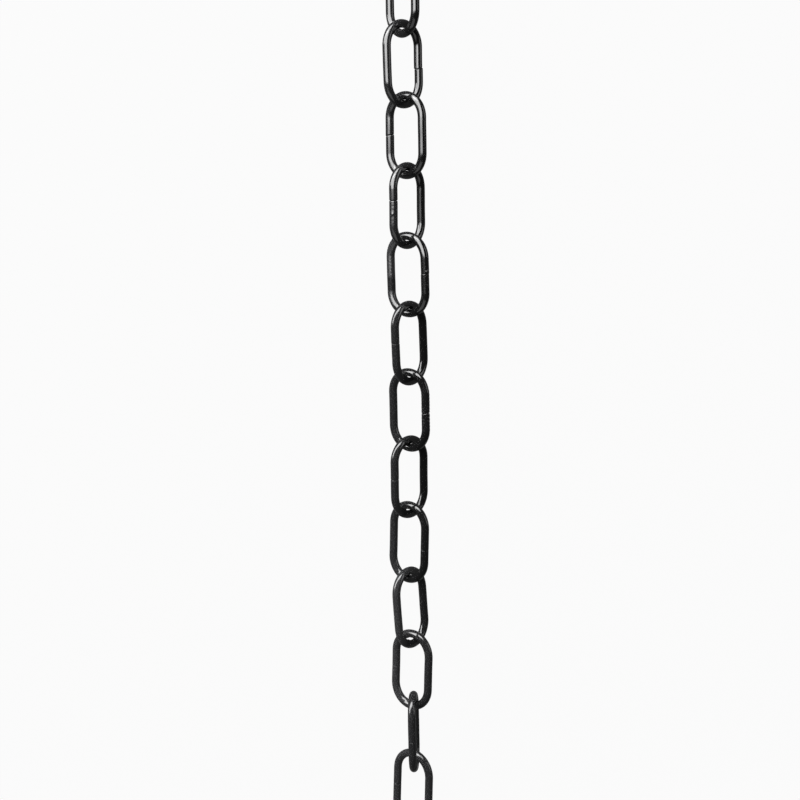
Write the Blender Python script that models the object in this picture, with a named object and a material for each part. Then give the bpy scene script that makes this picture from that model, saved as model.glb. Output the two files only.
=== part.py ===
"""Oval link chain: a two foot length of it, stretched out on a level floor.

Each link is one length of round wire, bent to an oval and butted in the middle of one
side without a weld. The chain runs along Y. Every link leans on one of its long sides,
so the links cross each other at about a right angle, as they do when the chain is taut.
Metres, +Z up, and the floor is Z = 0.
"""

import math

import bpy
from mathutils import Matrix, Vector

# Driving dimensions of one link, over its coat
WIRE_DIAMETER = 0.0036
INSIDE_LENGTH = 0.0302
OUTSIDE_WIDTH = 0.0225

# Clearances
SEAM_GAP = 0.0003
RUNNING_GAP = 0.0003

# Sizes that follow from them
WIRE_RADIUS = WIRE_DIAMETER / 2
BEND_RADIUS = (OUTSIDE_WIDTH - WIRE_DIAMETER) / 2
HALF_INSIDE = INSIDE_LENGTH / 2
TIP_REACH = HALF_INSIDE + WIRE_RADIUS
BEND_CENTRE = TIP_REACH - BEND_RADIUS

# How finely the round shapes are faceted
WIRE_SIDES = 16
BEND_CORNERS = 8
FACET_ANGLE = 2 * math.pi / WIRE_SIDES
CORNER_RADIUS = WIRE_RADIUS / math.cos(FACET_ANGLE / 2)

# How each link lies, from the +Y end of the chain to the -Y end:
#   bearing: where the side with the seam is, seen along the chain, degrees up from +X
#   lean: the turn of the link in plan, degrees
#   aside: how far the link's middle is off the chain's line, towards +X, mm
#   slack: how much closer the link lies to the one before it than a taut one, mm
LIE = [
    (135.0, 0.0, 0.0, 0.0),
    (45.0, 0.0, 0.0, 0.05),
    (-45.0, 0.3, -0.2, 0.05),
    (-124.0, 0.0, -0.5, 0.3),
    (-45.5, 0.9, -0.6, 0.6),
    (-136.5, 0.1, 0.3, 0.1),
    (129.0, -0.1, 0.5, 0.1),
    (39.5, 0.8, 0.4, 0.2),
    (130.0, 1.4, 0.7, 0.2),
    (42.0, 0.3, 0.3, 0.2),
    (133.0, 0.0, -0.1, 0.1),
    (43.5, -1.8, -0.6, 0.1),
    (-52.0, 3.4, -0.3, 0.1),
    (-139.5, -2.0, 0.0, 0.35),
    (95.0, 0.6, 0.4, 1.8),
    (-138.5, -2.0, -0.3, 1.4),
    (135.0, -0.6, 0.2, 0.3),
    (-135.0, 0.0, 0.2, 0.1),
    (-45.0, 0.0, 0.1, 0.05),
    (45.0, 0.0, 0.0, 0.05),
]

COLLECTION = "oval_link_chain"
COAT_COLOUR = (0.010, 0.010, 0.011, 1.0)


def empty_the_scene():
    """Remove every object that the file starts with."""
    for obj in list(bpy.data.objects):
        bpy.data.objects.remove(obj, do_unlink=True)


def black_coat():
    """Glossy black powder coat on steel."""
    material = bpy.data.materials.new("black_powder_coat")
    material.use_nodes = True
    shader = material.node_tree.nodes["Principled BSDF"]
    shader.inputs["Base Color"].default_value = COAT_COLOUR
    shader.inputs["Roughness"].default_value = 0.25
    shader.inputs["Metallic"].default_value = 0.0
    return material


def wire_route():
    """Centreline of the bent wire in its own plane, from one butted end round to the other.

    The ends meet half way along the side at +X, and each straight side keeps its full
    section from one bend to the other. A bend is a half circle drawn by its tangents: the
    corners stand a little outside it and the runs between them touch it. One run touches
    it at the tip, square to Y, and is the flat that the link is pulled by.
    """
    half_turn = math.pi / BEND_CORNERS / 2
    corner_radius = BEND_RADIUS / math.cos(half_turn)
    points = [Vector((BEND_RADIUS, SEAM_GAP / 2, 0.0))]
    for side in (1, -1):
        points.append(Vector((side * BEND_RADIUS, side * BEND_CENTRE, 0.0)))
        for corner in range(BEND_CORNERS):
            angle = half_turn * (2 * corner + 1)
            x = corner_radius * math.cos(angle)
            y = BEND_CENTRE + corner_radius * math.sin(angle)
            points.append(Vector((side * x, side * y, 0.0)))
        points.append(Vector((-side * BEND_RADIUS, side * BEND_CENTRE, 0.0)))
    points.append(Vector((BEND_RADIUS, -SEAM_GAP / 2, 0.0)))
    return points


def link_wire(material):
    """The curve that every link shares: round wire along the route, with closed ends.

    The section is drawn round the wire, so its flat facets touch it and its corners stand
    a little outside. It is turned by half a facet: flat facets face along the link's plane
    and square to it, and one faces down on a link that leans at 45 degrees.
    """
    wire = bpy.data.curves.new("link_wire", "CURVE")
    wire.dimensions = "3D"
    wire.twist_mode = "Z_UP"
    wire.bevel_depth = CORNER_RADIUS
    wire.bevel_resolution = WIRE_SIDES // 2 - 2
    wire.use_fill_caps = True
    route = wire_route()
    spline = wire.splines.new("POLY")
    spline.points.add(len(route) - 1)
    for point, place in zip(spline.points, route):
        point.co = (*place, 1.0)
        point.tilt = FACET_ANGLE / 2
    wire.materials.append(material)
    return wire


def height_of_middle(bearing):
    """Height of a link's middle when its lower side lies on the floor.

    A corner of the wire's section is the lowest point, so the section reaches down by its
    corner radius times the cosine of the angle from straight down to that corner.
    """
    past_facet = math.radians(bearing) % FACET_ANGLE
    to_corner = past_facet - FACET_ANGLE / 2
    below_wire = CORNER_RADIUS * math.cos(to_corner)
    return BEND_RADIUS * abs(math.sin(math.radians(bearing))) + below_wire


def link_places():
    """World matrix of each link, with the chain's middle over the origin."""
    places = []
    middle_y = 0.0
    for bearing, lean, aside, slack in LIE:
        if places:
            middle_y -= INSIDE_LENGTH - RUNNING_GAP - slack / 1000
        height = height_of_middle(bearing)
        roll = Matrix.Rotation(-math.radians(bearing), 4, "Y")
        turn = Matrix.Rotation(math.radians(lean), 4, "Z")
        places.append(Matrix.Translation((aside / 1000, middle_y, height)) @ turn @ roll)
    shift = Matrix.Translation((0.0, -middle_y / 2, 0.0))
    return [shift @ place for place in places]


def swing_place(place):
    """World matrix of the pivot on a link's -Y tip: X along the wire there, Y along the link."""
    return place @ Matrix.Translation((0.0, -TIP_REACH, 0.0))


def build_chain():
    """Make the links in order, each hung on a pivot at the tip of the one before."""
    collection = bpy.data.collections.new(COLLECTION)
    bpy.context.scene.collection.children.link(collection)
    wire = link_wire(black_coat())
    before = None
    place_before = None
    for number, place in enumerate(link_places(), start=1):
        link = bpy.data.objects.new(f"link_{number:02d}", wire)
        collection.objects.link(link)
        if before is None:
            link.matrix_basis = place
        else:
            pivot_place = swing_place(place_before)
            pivot = bpy.data.objects.new(f"pivot_{number:02d}", None)
            pivot.empty_display_size = WIRE_DIAMETER
            collection.objects.link(pivot)
            pivot.parent = before
            pivot.matrix_basis = place_before.inverted() @ pivot_place
            link.parent = pivot
            link.matrix_basis = pivot_place.inverted() @ place
        before = link
        place_before = place


empty_the_scene()
build_chain()
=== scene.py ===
"""A straight length of glossy black oval link chain on a pale studio floor.

Every link is one length of round steel wire, bent to an oval, butted half way along one
side and powder coated black after forming. Each of them is a surface swept along the
oval, and stands for the faceted solid of the same name. Metres, +Z up, floor at Z = 0.
"""

import logging
import math
from dataclasses import dataclass, field
from typing import Any

import bpy
import numpy as np
from mathutils import Matrix, Vector


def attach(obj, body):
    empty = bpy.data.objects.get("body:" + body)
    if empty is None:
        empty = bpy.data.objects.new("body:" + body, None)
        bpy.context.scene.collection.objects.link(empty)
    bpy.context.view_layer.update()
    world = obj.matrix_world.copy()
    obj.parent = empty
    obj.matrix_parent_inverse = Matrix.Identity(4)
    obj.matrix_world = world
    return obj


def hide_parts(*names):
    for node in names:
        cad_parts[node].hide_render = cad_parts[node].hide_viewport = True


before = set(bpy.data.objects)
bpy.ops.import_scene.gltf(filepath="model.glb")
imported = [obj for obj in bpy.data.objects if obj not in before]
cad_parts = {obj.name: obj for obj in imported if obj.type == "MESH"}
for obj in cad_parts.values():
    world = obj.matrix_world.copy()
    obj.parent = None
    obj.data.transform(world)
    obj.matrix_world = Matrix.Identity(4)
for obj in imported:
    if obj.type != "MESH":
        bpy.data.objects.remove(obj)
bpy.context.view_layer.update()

log = logging.getLogger("oval_link_chain")

MM = 0.001

RIM_RINGS = 6
FACE_RINGS = (0.15, 0.6)
SEAM_SIDE_REACH_MM = 1.0
SLANT_REACH_MM = 2.5
WAVES_IN_A_LINK = (3, 5, 8)
TUCK_POWER = 4
PINCH_POWER = 4
STEP_REACH_IN_HALF_SIDES = 1.5


def linear_colour(hex_colour: str) -> tuple[float, float, float, float]:
    """Turn an sRGB hex colour into Blender's linear colour.

    Args:
        hex_colour: Six hex digits after a hash sign.

    Returns:
        Linear red, green and blue, and an alpha of one.
    """
    srgb = [int(hex_colour[i : i + 2], 16) / 255 for i in (1, 3, 5)]
    red, green, blue = (c / 12.92 if c <= 0.04045 else ((c + 0.055) / 1.055) ** 2.4 for c in srgb)
    return (red, green, blue, 1.0)


def add_node(
    tree: bpy.types.NodeTree,
    kind: str,
    settings: dict[str | int, Any] | None = None,
    links: dict[str | int, bpy.types.NodeSocket] | None = None,
) -> bpy.types.Node:
    """Add one shader node, with its settings and what feeds it.

    Args:
        tree: The node tree that the node goes in.
        kind: The node's Blender type.
        settings: Values by name: a socket's name or number, or else a property's name.
        links: Sockets that feed the node's inputs, by input name or number.

    Returns:
        The new node.
    """
    node = tree.nodes.new(kind)
    for name, value in (settings or {}).items():
        if isinstance(name, int) or name in node.inputs:
            node.inputs[name].default_value = value
        else:
            setattr(node, name, value)
    for name, socket in (links or {}).items():
        tree.links.new(socket, node.inputs[name])
    return node


@dataclass(frozen=True)
class BlackPowderCoat:
    """Black polyester powder coat, sprayed and stoved on bent steel wire.

    It is a hard, glossy film with a faint orange peel, so it shows clear bright streaks
    of the lights. Where the spray was dry the film is rough and breaks them up. Painted
    light greys it, mostly on the side at -X, standing in for the light from the left.
    """

    colour: str = "#050505"
    # Painted light: the grey that stands in for the light from the left, on the side at -X.
    painted_light_colour: str = "#242425"
    dry_colour: str = "#161617"
    ior: float = 1.5
    gloss_roughness: float = 0.12
    dry_roughness: float = 0.4
    peel_mm: float = 3.0
    peel_height_mm: float = 0.0025
    grit_mm: float = 0.45
    grit_height_mm: float = 0.07

    def material(self) -> bpy.types.Material:
        """Make the material: gloss film, orange peel, and grit where the coat is dry.

        Returns:
            The material, which reads the mesh attributes "dry_coat" and "painted_side_light", the
            share of painted light that greys the coat.
        """
        made = bpy.data.materials.new("black_powder_coat")
        made.use_nodes = True
        tree = made.node_tree
        shader = tree.nodes["Principled BSDF"]
        shader.inputs["IOR"].default_value = self.ior
        shader.inputs["Metallic"].default_value = 0.0
        place = add_node(tree, "ShaderNodeTexCoord").outputs["Object"]
        dry = add_node(tree, "ShaderNodeAttribute", {"attribute_name": "dry_coat"}).outputs["Fac"]
        peel = add_node(
            tree,
            "ShaderNodeTexNoise",
            {"Scale": 1 / (self.peel_mm * MM), "Detail": 1.0},
            {"Vector": place},
        ).outputs["Fac"]
        # Real grit is under 0.1 mm; it is drawn several times as coarse, to show.
        grit = add_node(
            tree,
            "ShaderNodeTexNoise",
            {"Scale": 1 / (self.grit_mm * MM), "Detail": 2.0, "Roughness": 0.6},
            {"Vector": place},
        ).outputs["Fac"]
        peel_bump = add_node(
            tree,
            "ShaderNodeBump",
            {"Strength": 1.0, "Distance": self.peel_height_mm * MM},
            {"Height": peel},
        ).outputs["Normal"]
        grit_bump = add_node(
            tree,
            "ShaderNodeBump",
            {"Distance": self.grit_height_mm * MM},
            {"Height": grit, "Strength": dry, "Normal": peel_bump},
        ).outputs["Normal"]
        rough = add_node(
            tree,
            "ShaderNodeMix",
            {"data_type": "FLOAT", 2: self.gloss_roughness, 3: self.dry_roughness},
            {0: dry},
        ).outputs[0]
        # Painted light: the coat is mixed towards grey on the side at -X, standing in for the
        # light from the left.
        painted_side_light = add_node(tree, "ShaderNodeAttribute", {"attribute_name": "painted_side_light"}).outputs["Fac"]
        clean_colour, painted_light_colour = linear_colour(self.colour), linear_colour(self.painted_light_colour)
        coat_and_painted_light = add_node(
            tree,
            "ShaderNodeMix",
            {"data_type": "RGBA", 6: clean_colour, 7: painted_light_colour},
            {0: painted_side_light},
        ).outputs[2]
        tone = add_node(
            tree,
            "ShaderNodeMix",
            {"data_type": "RGBA", 7: linear_colour(self.dry_colour)},
            {0: dry, 6: coat_and_painted_light},
        ).outputs[2]
        tree.links.new(rough, shader.inputs["Roughness"])
        tree.links.new(tone, shader.inputs["Base Color"])
        tree.links.new(grit_bump, shader.inputs["Normal"])
        return made


@dataclass(frozen=True)
class ButtSeam:
    """Where the two cropped ends of a link's wire meet. Sizes in mm.

    along is how far the seam lies from the middle of its side, towards +Y. gap is the
    clear width between the ends, rim the radius of the coat round the cropped edges, step
    how far the lower end stands out from the upper, and slant the tilt of the cut in
    degrees.
    """

    along: float = 0.0
    gap: float = 0.1
    rim: float = 0.3
    step: float = 0.0
    slant: float = 0.0


@dataclass(frozen=True)
class DryPatch:
    """A stretch of rough, dry coat. Sizes in mm.

    start and end are places along the wire from the seam, round by the +Y end. strength
    is how rough the film is, and ragged the height of the bumps in its outline.
    """

    start: float
    end: float
    strength: float = 1.0
    ragged: float = 0.0


@dataclass(frozen=True)
class Nib:
    """A bead of coat or a burr. Sizes in mm.

    along is its place on the wire from the seam, round by the +Y end; facing is its angle
    round the wire from the outer side of the link, degrees; width and height are its own.
    """

    along: float
    facing: float
    height: float
    width: float = 0.4


@dataclass
class OvalRoute:
    """Centreline of a link's wire in its own plane, X across and Y along the link. In mm.

    It starts half way along the side at +X and runs to +Y. It is two straight sides and
    two half circles.
    """

    bend_radius: float
    bend_centre: float

    @property
    def length(self) -> float:
        """Length of wire in the link."""
        return 4 * self.bend_centre + 2 * math.pi * self.bend_radius

    def at(self, along: np.ndarray) -> tuple[np.ndarray, np.ndarray, np.ndarray]:
        """Where the route is at given lengths along it.

        The length is counted round and round, and shared out in order: half a side, a
        bend, a side, a bend, half a side. The angle turned is the length spent on bends
        over the bend's radius. The point is the bend's radius along the outward
        direction, plus the run up and down the sides along Y.

        Args:
            along: Lengths from the start.

        Returns:
            Points, directions of travel and outward directions, each with a last axis of two.
        """
        along = along % self.length
        half_side = self.bend_centre
        bend = math.pi * self.bend_radius
        spans = np.cumsum([0.0, half_side, bend, 2 * half_side, bend])
        first = np.clip(along, 0, half_side)
        turned = np.clip(along - spans[1], 0, bend)
        second = np.clip(along - spans[2], 0, 2 * half_side)
        turned = turned + np.clip(along - spans[3], 0, bend)
        last = np.clip(along - spans[4], 0, half_side)
        angle = turned / self.bend_radius
        outward = np.stack([np.cos(angle), np.sin(angle)], axis=-1)
        travel = np.stack([-np.sin(angle), np.cos(angle)], axis=-1)
        point = self.bend_radius * outward
        point[..., 1] += first - second + last
        return point, travel, outward


@dataclass
class LinkPlace:
    """Where a link lies and how big it is, read from its solid in the frame. In mm.

    The solid's own axes are the principal axes of its corners: the longest is along the
    link, the next across it and the shortest square to it. across points to the seam's
    side, which has corners half way along it, and square points up.
    """

    centre: np.ndarray
    across: np.ndarray
    along: np.ndarray
    square: np.ndarray
    wire_radius: float
    route: OvalRoute

    @classmethod
    def of(cls, node: str) -> "LinkPlace":
        """Read the place of one link.

        Args:
            node: The solid's name in the frame.

        Returns:
            The link's place.
        """
        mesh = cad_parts[node].data
        corners = np.zeros(len(mesh.vertices) * 3)
        mesh.vertices.foreach_get("co", corners)
        corners = np.unique(np.round(corners.reshape(-1, 3) / MM, 4), axis=0)
        spread, axes = np.linalg.eigh(np.cov(corners.T))
        square, across, along = axes.T[np.argsort(spread)]
        along = along * np.sign(along[1])
        square = square * np.sign(square[2])
        local = corners @ np.stack([across, along, square], axis=1)
        low, high = local.min(axis=0), local.max(axis=0)
        middle = (low + high) / 2
        half_way = np.abs(local[:, 1] - middle[1]) < SEAM_SIDE_REACH_MM
        seam_side = local[half_way, 0].mean() - middle[0]
        half = (high - low) / 2
        wire_radius = half[2]
        bend_radius = half[0] - wire_radius
        route = OvalRoute(bend_radius, half[1] - wire_radius - bend_radius)
        centre = np.stack([across, along, square], axis=1) @ middle
        return cls(centre, across * np.sign(seam_side), along, square, wire_radius, route)


@dataclass
class ChainLink:
    """One link: the wire, its butt seam and what the coat and the tools left on it.

    wave is the height in mm of the long, shallow bends that hand and tool leave in the
    wire. tuck is how far in mm each tip is drawn in, so that the links look taut. pinch is
    how much thicker the inner side of a bend is to either side of the tip, where the
    bending tool squeezed it; pinch_at and pinch_reach place it, in degrees from the tip.
    Both are kept small enough for neighbours to stay clear of each other.
    painted_side_light is how much painted light, standing in for the light from the left,
    greys the coat on the side at -X and on the side at +X, from 0 to 1.
    """

    node: str
    seam: ButtSeam = ButtSeam()
    patches: tuple[DryPatch, ...] = ()
    nibs: tuple[Nib, ...] = ()
    # Painted light: shares of grey for the side at -X and the side at +X, standing in for the
    # light from the left.
    painted_side_light: tuple[float, float] = (0.18, 0.0)
    wave: float = 0.02
    tuck: float = 0.07
    pinch: float = 0.3
    pinch_at: float = 24.0
    pinch_reach: float = 7.0
    sides: int = 40
    step: float = 0.4
    seam_step: float = 0.12
    seam_reach: float = 4.0
    place: LinkPlace = field(init=False)

    def __post_init__(self) -> None:
        """Read the link's place from the frame."""
        self.place = LinkPlace.of(self.node)

    @property
    def seed(self) -> int:
        """A seed of the link's own, from its number."""
        return int(self.node.rsplit("_", 1)[1])

    def stations(self) -> tuple[np.ndarray, np.ndarray]:
        """Rings along the wire, from the middle of one cropped end to that of the other.

        Each end is a flat face, rings of shrinking size, and a rim that is a quarter
        circle: its place is the rim's radius times one minus the sine of an angle, and
        its size falls short of the wire's by that radius times one minus the cosine.

        Returns:
            Length along the wire and share of the wire's radius, for each ring.
        """
        radius = self.place.wire_radius
        rim, start = self.seam.rim, self.seam.gap / 2
        turn = np.linspace(math.pi / 2, 0, RIM_RINGS)
        rim_along = start + rim * (1 - np.sin(turn))
        rim_share = 1 - rim / radius * (1 - np.cos(turn))
        face_share = rim_share[0] * np.array(FACE_RINGS)
        near = np.arange(rim_along[-1] + self.seam_step, self.seam_reach, self.seam_step)
        head = np.concatenate([[start, start], rim_along, near])
        share = np.concatenate([face_share, rim_share, np.ones(len(near))])
        whole = self.place.route.length
        count = int((whole - 2 * self.seam_reach) / self.step)
        middle = np.linspace(self.seam_reach, whole - self.seam_reach, count)
        along = np.concatenate([head, middle, whole - head[::-1]])
        return along, np.concatenate([share, np.ones(count), share[::-1]])

    def waves(self, along: np.ndarray) -> tuple[np.ndarray, np.ndarray]:
        """How far the wire wanders from the true oval, never outside it.

        Each is a sum of three sines of the length along the wire, with whole numbers of
        waves in a link, and heights that fall as the waves get shorter. The outward one
        is lowered by its highest value, and by the tuck at each tip: that much times the
        fourth power of the sine of the angle turned.

        Args:
            along: Length along the wire of each ring, mm.

        Returns:
            The offsets outwards and square to the link's plane, mm.
        """
        random = np.random.default_rng(self.seed)
        turns = np.array(WAVES_IN_A_LINK)
        phase = random.uniform(0, 2 * math.pi, (2, 3))
        height = self.wave / np.sqrt(turns - 2)
        angle = 2 * math.pi * np.outer(along / self.place.route.length, turns)
        outward = (height * np.sin(angle + phase[0])).sum(axis=1)
        upward = (height * np.sin(angle + phase[1])).sum(axis=1)
        facing = self.place.route.at(along + self.seam.along)[2]
        outward = outward - outward.max() - self.tuck * facing[:, 1] ** TUCK_POWER
        return outward, upward

    def seam_shift(self, along: np.ndarray) -> np.ndarray:
        """How much of the seam's step each ring takes.

        It is half at the cropped ends, with opposite signs, and dies away as the square
        of a cosine over one and a half times the half side.

        Args:
            along: Length along the wire of each ring, mm.

        Returns:
            Shares from minus a half, above the seam, to a half, below it.
        """
        whole = self.place.route.length
        back = np.minimum(along, whole - along)
        reach = STEP_REACH_IN_HALF_SIDES * self.place.route.bend_centre
        fade = np.cos(np.clip(back / reach, 0, 1) * math.pi / 2) ** 2
        return np.where(along < whole / 2, -0.5, 0.5) * fade

    def surface(self) -> tuple[np.ndarray, np.ndarray]:
        """The skin of the wire as a grid of rings along it and points round each ring.

        A point is the route's point, plus the wire's radius times the ring's share along
        a direction that turns from outward, through square to the link, and back. Waves,
        the seam's step and slant, ragged stretches and nibs are added as offsets.

        Returns:
            Points in world millimetres, and how dry the coat is at each.
        """
        place, seam = self.place, self.seam
        along, share = self.stations()
        whole = place.route.length
        turn = np.arange(self.sides) * 2 * math.pi / self.sides
        back = np.minimum(along, whole - along)
        slide = math.tan(math.radians(seam.slant)) * np.exp(-((back / SLANT_REACH_MM) ** 2))
        run = along[:, None] + np.outer(slide * share, np.cos(turn)) * place.wire_radius
        point, _, outward = place.route.at(run + seam.along)
        rough, dry = self.dry_coat(along, turn)
        extra = rough + self.beads(along, turn) + self.pinches(along, turn)
        radius = (place.wire_radius + extra) * share[:, None]
        wave_out, wave_up = self.waves(along)
        stepped = wave_out + self.seam_shift(along) * seam.step
        reach_out = radius * np.cos(turn) + stepped[:, None]
        reach_up = radius * np.sin(turn) + wave_up[:, None]
        flat = point + outward * reach_out[..., None]
        skin = (
            place.centre
            + flat[..., 0:1] * place.across
            + flat[..., 1:2] * place.along
            + reach_up[..., None] * place.square
        )
        skin[..., 2] -= min(skin[..., 2].min(), 0.0)
        return skin, dry

    def dry_coat(self, along: np.ndarray, turn: np.ndarray) -> tuple[np.ndarray, np.ndarray]:
        """Height and roughness of the dry stretches.

        A stretch fades in and out over a millimetre. Its ragged height is a product of
        sines of the length along the wire and of the angle round it, with seeded phases.

        Args:
            along: Length along the wire of each ring, mm.
            turn: Angle of each point round the wire.

        Returns:
            Height in mm and dryness from 0 to 1, for each ring and point.
        """
        random = np.random.default_rng(self.seed + 100)
        rough = np.zeros((len(along), len(turn)))
        dry = np.zeros_like(rough)
        whole = self.place.route.length
        for patch in self.patches:
            middle, half = (patch.start + patch.end) / 2, (patch.end - patch.start) / 2
            away = np.abs((along - middle + whole / 2) % whole - whole / 2)
            fade = np.clip(half + 0.5 - away, 0, 1)[:, None]
            phase = random.uniform(0, 2 * math.pi, 4)
            coarse = np.outer(np.sin(along * 4.1 + phase[0]), np.sin(3 * turn + phase[1]))
            fine = np.outer(np.sin(along * 7.7 + phase[2]), np.sin(5 * turn + phase[3]))
            wobble = coarse + 0.6 * fine
            rough += patch.ragged * fade * wobble
            dry = np.maximum(dry, patch.strength * fade + 0 * turn)
        return rough, dry

    def pinches(self, along: np.ndarray, turn: np.ndarray) -> np.ndarray:
        """Extra thickness on the inner side of the bends, to either side of each tip.

        It is a bell of the angle from the tip, times the fourth power of the cosine of
        the angle from the inner side of the link.

        Args:
            along: Length along the wire of each ring, mm.
            turn: Angle of each point round the wire.

        Returns:
            Height in mm for each ring and point.
        """
        facing = np.abs(self.place.route.at(along + self.seam.along)[2][:, 1])
        off_tip = np.degrees(np.arccos(np.clip(facing, 0, 1)))
        bell = np.exp(-(((off_tip - self.pinch_at) / self.pinch_reach) ** 2))
        return self.pinch * np.outer(bell, np.clip(-np.cos(turn), 0, 1) ** PINCH_POWER)

    def painted_side_share(self, skin: np.ndarray) -> np.ndarray:
        """How much painted light greys the coat at each point, standing in for the light from the
        left.

        It goes from the one side's value to the other's with the point's X over half the
        link's width, held to that range.

        Args:
            skin: Points in world millimetres.

        Returns:
            Share of painted light from 0 to 1, for each point.
        """
        aside = (skin[..., 0] - self.place.centre[0]) / self.place.route.bend_radius
        left, right = self.painted_side_light
        return np.interp(aside, (-0.5, 0.5), (left, right))

    def beads(self, along: np.ndarray, turn: np.ndarray) -> np.ndarray:
        """Height of the nibs: each is a bell of the distance from its middle.

        Args:
            along: Length along the wire of each ring, mm.
            turn: Angle of each point round the wire.

        Returns:
            Height in mm for each ring and point.
        """
        height = np.zeros((len(along), len(turn)))
        whole = self.place.route.length
        for nib in self.nibs:
            away = np.abs((along - nib.along + whole / 2) % whole - whole / 2)[:, None]
            aside = (turn - math.radians(nib.facing) + math.pi) % (2 * math.pi) - math.pi
            across = aside * self.place.wire_radius
            height += nib.height * np.exp(-(away**2 + across**2) / nib.width**2)
        return height

    def build(self, coat: bpy.types.Material) -> bpy.types.Object:
        """Make the link's object, in place of its solid.

        Args:
            coat: The finish.

        Returns:
            The object, which rides on the link's body.
        """
        skin, dry = self.surface()
        rings, sides, _ = skin.shape
        ring, point = np.meshgrid(np.arange(rings - 1), np.arange(sides), indexing="ij")
        following = (point + 1) % sides
        quads = np.stack(
            [
                ring * sides + point,
                (ring + 1) * sides + point,
                (ring + 1) * sides + following,
                ring * sides + following,
            ],
            axis=-1,
        ).reshape(-1, 4)
        poles = np.stack([skin[0].mean(axis=0), skin[-1].mean(axis=0)])
        first, last = rings * sides, rings * sides + 1
        points = np.arange(sides)
        near_cap = np.stack([np.full(sides, first), points, (points + 1) % sides], axis=1)
        far = (rings - 1) * sides + points
        far_cap = np.stack([np.full(sides, last), np.roll(far, -1), far], axis=1)
        corners = np.concatenate([skin.reshape(-1, 3), poles]) * MM
        faces = quads.tolist() + near_cap.tolist() + far_cap.tolist()
        mesh = bpy.data.meshes.new(f"{self.node}_wire")
        mesh.from_pydata(corners.tolist(), [], faces)
        mesh.polygons.foreach_set("use_smooth", np.ones(len(faces), bool))
        dryness = mesh.attributes.new("dry_coat", "FLOAT", "POINT")
        dryness.data.foreach_set("value", np.append(dry.ravel(), [0.0, 0.0]).astype(np.float32))
        # Painted light: a share for each point that greys the coat on the side at -X.
        painted_light_layer = mesh.attributes.new("painted_side_light", "FLOAT", "POINT")
        painted_side_light = np.append(self.painted_side_share(skin).ravel(), self.painted_side_share(poles))
        painted_light_layer.data.foreach_set("value", painted_side_light.astype(np.float32))
        mesh.materials.append(coat)
        mesh.update()
        link = bpy.data.objects.new(f"{self.node}_wire", mesh)
        bpy.context.scene.collection.objects.link(link)
        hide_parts(self.node)
        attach(link, self.node)
        log.info("%s: %d points, %d faces", link.name, len(mesh.vertices), len(faces))
        return link


class OvalLinkChain:
    """All twenty links, from the +Y end to the -Y end, with what is known of each."""

    def __init__(self) -> None:
        """List the links. The ones without a line of their own are plain."""
        known = {
            4: ChainLink("link_04", pinch=0.1),
            5: ChainLink("link_05", ButtSeam(-1.8, gap=0.08, step=0.3, slant=12.0), pinch=0.1),
            6: ChainLink("link_06", ButtSeam(0.0, gap=0.06, step=-0.12, slant=-14.0, rim=0.4)),
            7: ChainLink(
                "link_07",
                ButtSeam(2.6, gap=0.06, rim=0.4),
                patches=(DryPatch(-13.0, -1.0, 0.12, 0.008),),
                nibs=(Nib(-5.6, 20.0, 0.2),),
            ),
            8: ChainLink(
                "link_08",
                ButtSeam(0.6, gap=0.05, step=-0.1, slant=4.0, rim=0.15),
                patches=(DryPatch(29.0, 45.0, 0.5, 0.02), DryPatch(51.0, 58.0, 0.4, 0.02)),
                nibs=(Nib(1.2, 20.0, 0.3), Nib(-5.0, 10.0, 0.15)),
            ),
            9: ChainLink("link_09", ButtSeam(1.0, gap=0.05, step=-0.1)),
            10: ChainLink(
                "link_10",
                ButtSeam(-0.5, gap=0.08, rim=0.4, slant=8.0),
                patches=(DryPatch(-8.0, 11.0, 0.1, 0.05),),
            ),
            11: ChainLink("link_11", ButtSeam(0.3, gap=0.06, rim=0.3)),
            # Where a line gives two shares for the sides, they set the painted light that greys
            # the link's side at -X and its side at +X.
            12: ChainLink("link_12", ButtSeam(-1.8, gap=0.05, rim=0.2), painted_side_light=(0.24, 0.02)),
            13: ChainLink("link_13", ButtSeam(0.0, gap=0.05, rim=0.1), painted_side_light=(0.4, 0.12)),
            14: ChainLink(
                "link_14",
                ButtSeam(0.0, gap=0.08, rim=0.2),
                nibs=(Nib(-7.0, 0.0, 0.25, 0.8),),
                painted_side_light=(0.4, 0.2),
            ),
            15: ChainLink(
                "link_15", ButtSeam(-1.2, gap=0.06, rim=0.2), painted_side_light=(0.2, 0.2), tuck=0.05, pinch=0.0
            ),
            16: ChainLink(
                "link_16",
                ButtSeam(0.0, gap=0.06),
                nibs=(Nib(0.8, 0.0, 0.2),),
                painted_side_light=(0.35, 0.3),
                tuck=0.05,
                pinch=0.0,
            ),
        }
        numbers = range(1, len(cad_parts) + 1)
        self.links = [known.get(n) or ChainLink(f"link_{n:02d}") for n in numbers]

    def build(self) -> list[bpy.types.Object]:
        """Make every link in the one finish.

        Returns:
            The links' objects, from the +Y end.
        """
        coat = BlackPowderCoat().material()
        return [link.build(coat) for link in self.links]


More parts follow.
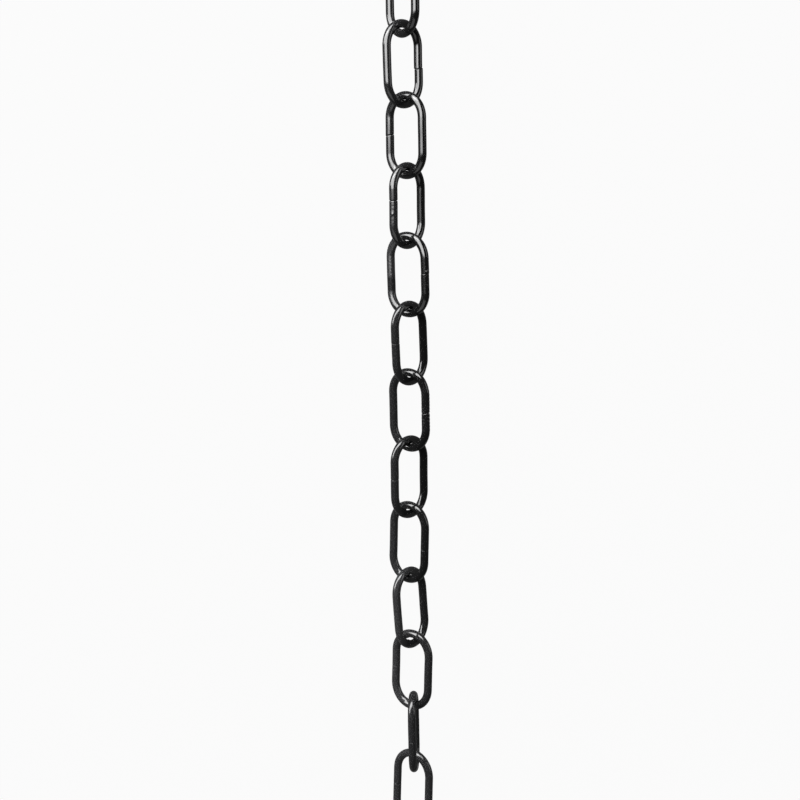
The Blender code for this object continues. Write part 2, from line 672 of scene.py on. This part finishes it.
@dataclass
class Studio:
    """Pale floor, soft lights and the camera.

    The floor glows a little by itself, as a lit table does, so that the thin wire throws
    next to no shadow on it. The camera aims at a point, from a distance along a line that
    is tilted towards +Y. focal_share is the focal length over the width of the picture.
    """

    floor_size: float = 8.0
    floor_white: float = 0.955
    floor_bounce: float = 0.15
    surround: float = 0.05
    links_under_key: int = 8
    aim: tuple[float, float, float] = (-0.003781, 0.018175, 0.008)
    distance: float = 0.7
    tilt: float = 9.636
    roll: float = -0.7915
    focal_share: float = 1596.93 / 800

    def build(self, links: list[bpy.types.Object]) -> None:
        """Set the whole studio up.

        Args:
            links: The links' objects, from the +Y end.
        """
        self.colours()
        self.floor()
        self.world()
        self.lights(links)
        self.camera()

    def colours(self) -> None:
        """Show linear colours plainly, so that the floor is white and the coat black."""
        bpy.context.scene.view_settings.view_transform = "Standard"

    def floor(self) -> None:
        """A flat floor: a faint matt white over a glow that is dimmer off camera."""
        half = self.floor_size / 2
        corners = [(-half, -half, 0), (half, -half, 0), (half, half, 0), (-half, half, 0)]
        mesh = bpy.data.meshes.new("floor")
        mesh.from_pydata(corners, [], [(0, 1, 2, 3)])
        made = bpy.data.materials.new("lit_table")
        made.use_nodes = True
        tree = made.node_tree
        tree.nodes.clear()
        seen = add_node(tree, "ShaderNodeLightPath").outputs["Is Camera Ray"]
        strength = add_node(
            tree,
            "ShaderNodeMapRange",
            {"To Min": self.floor_bounce, "To Max": self.floor_white},
            {"Value": seen},
        ).outputs[0]
        glow = add_node(tree, "ShaderNodeEmission", {}, {"Strength": strength})
        matt = add_node(tree, "ShaderNodeBsdfDiffuse", {"Color": (0.01, 0.01, 0.01, 1.0)})
        both = add_node(tree, "ShaderNodeAddShader", {}, {0: glow.outputs[0], 1: matt.outputs[0]})
        add_node(tree, "ShaderNodeOutputMaterial", {}, {"Surface": both.outputs[0]})
        mesh.materials.append(made)
        floor = bpy.data.objects.new("floor", mesh)
        bpy.context.scene.collection.objects.link(floor)

    def world(self) -> None:
        """A dim even surround, which the camera sees as pale."""
        world = bpy.data.worlds.new("studio")
        world.use_nodes = True
        bpy.context.scene.world = world
        tree = world.node_tree
        ground = tree.nodes["Background"]
        ground.inputs["Color"].default_value = (1.0, 1.0, 1.0, 1.0)
        seen = add_node(tree, "ShaderNodeLightPath").outputs["Is Camera Ray"]
        strength = add_node(
            tree,
            "ShaderNodeMapRange",
            {"To Min": self.surround, "To Max": self.floor_white},
            {"Value": seen},
        ).outputs[0]
        tree.links.new(strength, ground.inputs["Strength"])

    def panel(
        self,
        name: str,
        centre: Vector,
        aim: Vector,
        up: Vector,
        size: tuple[float, float],
        glow: float,
        fade: float = 0.0,
    ) -> bpy.types.Object:
        """Add one soft rectangular light.

        Args:
            name: Name of the light.
            centre: Middle of the panel.
            aim: Point that it faces.
            up: Direction that its second size runs along, as near as can be.
            size: Width and height of the panel.
            glow: Radiance of its face.
            fade: Share of its height over which its lower edge fades out.

        Returns:
            The panel.
        """
        light = bpy.data.lights.new(name, "AREA")
        light.shape = "RECTANGLE"
        light.size, light.size_y = size
        light.energy = glow * math.pi * size[0] * size[1]
        away = (centre - aim).normalized()
        side = up.cross(away).normalized()
        rise = away.cross(side)
        place = Matrix.Identity(4)
        for column, axis in enumerate((side, rise, away)):
            place[0][column], place[1][column], place[2][column] = axis
        place.translation = centre
        panel = bpy.data.objects.new(name, light)
        panel.matrix_world = place
        panel.visible_camera = False
        bpy.context.scene.collection.objects.link(panel)
        if fade > 0:
            self.fade_edge(light, fade)
        return panel

    def fade_edge(self, light: bpy.types.AreaLight, share: float) -> None:
        """Let a panel's lower edge fade out as a cube, as a lamp behind a diffuser does.

        Args:
            light: The panel's light.
            share: Share of the panel's height that the fade takes, from nothing up to full.
        """
        light.use_nodes = True
        tree = light.node_tree
        face = add_node(tree, "ShaderNodeNewGeometry").outputs["Parametric"]
        split = add_node(tree, "ShaderNodeSeparateXYZ", {}, {"Vector": face})
        rise = add_node(
            tree,
            "ShaderNodeMapRange",
            {"From Max": share},
            {"Value": split.outputs["Y"]},
        ).outputs[0]
        glow = add_node(tree, "ShaderNodeMath", {"operation": "POWER", 1: 3.0}, {0: rise})
        tree.links.new(glow.outputs[0], tree.nodes["Emission"].inputs["Strength"])

    def link_light(self, light: bpy.types.Object, pieces: list[bpy.types.Object]) -> None:
        """Let a light fall on some pieces only.

        Args:
            light: The light.
            pieces: The objects that it falls on.
        """
        lit = bpy.data.collections.new(f"under_{light.name}")
        for piece in pieces:
            lit.objects.link(piece)
        light.light_linking.receiver_collection = lit

    def lights(self, links: list[bpy.types.Object]) -> None:
        """A key panel overhead, low panels behind and to the left, and dim fills all round.

        The chain in the photograph bends away from its overhead light half way down. This
        one lies straight, so its lower links get the same light without its reflection.

        Args:
            links: The links' objects, from the +Y end.
        """
        middle = Vector((0.0, 0.0, 0.0))
        along = Vector((0.0, 1.0, 0.0))
        upward = Vector((0.0, 0.0, 1.0))
        above, below = Vector((-0.6, 0.55, 1.22)), Vector((-0.05, 0.3, 0.0))
        far = Vector((0.0, 0.42, 0.0))
        key = self.panel("key", above + far, below + far, along, (1.7, 2.34), 13.5, 0.16)
        wash = self.panel("wash", above, below, along, (1.7, 1.5), 13.5)
        wash.visible_glossy = False
        self.link_light(key, links[: self.links_under_key])
        self.link_light(wash, links[self.links_under_key :])
        front = self.panel("front", Vector((-0.3, -1.0, 1.0)), middle, upward, (1.8, 1.1), 1.1)
        self.link_light(front, links[: self.links_under_key])
        self.panel("back", Vector((-0.35, 1.5, 0.45)), middle, upward, (1.3, 0.75), 14.0)
        self.panel("back_left", Vector((-1.3, 0.9, 0.42)), middle, upward, (1.1, 0.65), 14.0)
        self.panel("left_fill", Vector((-1.6, 0.6, 0.35)), middle, upward, (1.0, 0.6), 0.7)
        self.panel("right_fill", Vector((1.5, 0.7, 0.45)), middle, upward, (1.2, 0.5), 2.5)

    def camera(self) -> None:
        """The photograph's view: nearly straight down, with the chain upright in it."""
        tilt, roll = math.radians(self.tilt), math.radians(self.roll)
        away = Vector((0.0, math.sin(tilt), math.cos(tilt)))
        plain_right = Vector((1.0, 0.0, 0.0))
        plain_up = Vector((0.0, math.cos(tilt), -math.sin(tilt)))
        right = math.cos(roll) * plain_right + math.sin(roll) * plain_up
        up = math.cos(roll) * plain_up - math.sin(roll) * plain_right
        place = Matrix.Identity(4)
        for column, axis in enumerate((right, up, away)):
            place[0][column], place[1][column], place[2][column] = axis
        place.translation = Vector(self.aim) + self.distance * away
        lens = bpy.data.cameras.new("camera")
        lens.sensor_width = 36.0
        lens.lens = self.focal_share * lens.sensor_width
        camera = bpy.data.objects.new("camera", lens)
        camera.matrix_world = place
        bpy.context.scene.collection.objects.link(camera)
        bpy.context.scene.camera = camera


def main() -> None:
    """Build the chain, then the studio round it."""
    logging.basicConfig(level=logging.INFO, format="%(name)s: %(message)s")
    links = OvalLinkChain().build()
    Studio().build(links)


if __name__ == "__main__":
    main()
